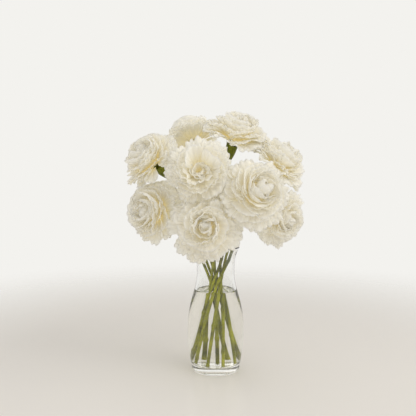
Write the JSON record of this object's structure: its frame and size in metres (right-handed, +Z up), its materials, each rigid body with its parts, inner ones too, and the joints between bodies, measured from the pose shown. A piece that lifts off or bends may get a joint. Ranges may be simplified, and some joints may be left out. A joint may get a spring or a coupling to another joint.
{
  "type": "vase of cut carnations",
  "caption": "Clear glass vase with a waisted neck and flared rim, part filled with water, holding a loose bunch of white carnations on green stems.",
  "frame": {"origin": "middle of the vase's foot, on the surface it stands on", "axes": "+Z up along the vase's axis, +X to the right and +Y to the back of the arrangement"},
  "size_m": [0.21, 0.1573, 0.3058],
  "materials": {
    "vase_glass": "gloss",
    "vase_water": "gloss",
    "stem": "satin",
    "calyx": "satin",
    "leaf": "matte",
    "outer_petals": "matte",
    "inner_petals": "matte"
  },
  "bodies": {
    "root": {"vase": "vase_glass", "water": "vase_water", "stem_1": "stem", "calyx_1": "calyx", "outer_petals_1": "outer_petals", "inner_petals_1": "inner_petals", "stem_2": "stem", "calyx_2": "calyx", "outer_petals_2": "outer_petals", "inner_petals_2": "inner_petals", "stem_3": "stem", "calyx_3": "calyx", "outer_petals_3": "outer_petals", "inner_petals_3": "inner_petals", "stem_4": "stem", "calyx_4": "calyx", "outer_petals_4": "outer_petals", "inner_petals_4": "inner_petals", "stem_5": "stem", "calyx_5": "calyx", "outer_petals_5": "outer_petals", "inner_petals_5": "inner_petals", "stem_6": "stem", "calyx_6": "calyx", "outer_petals_6": "outer_petals", "inner_petals_6": "inner_petals", "stem_7": "stem", "calyx_7": "calyx", "outer_petals_7": "outer_petals", "inner_petals_7": "inner_petals", "stem_8": "stem", "calyx_8": "calyx", "outer_petals_8": "outer_petals", "inner_petals_8": "inner_petals", "stem_9": "stem", "calyx_9": "calyx", "outer_petals_9": "outer_petals", "inner_petals_9": "inner_petals", "leaf_9a": "leaf", "leaf_9b": "leaf", "leaf_3a": "leaf", "leaf_3b": "leaf", "leaf_1a": "leaf", "leaf_1b": "leaf", "leaf_7a": "leaf", "leaf_7b": "leaf", "leaf_2a": "leaf", "leaf_2b": "leaf", "leaf_4a": "leaf", "leaf_4b": "leaf"}
  },
  "joints": []
}
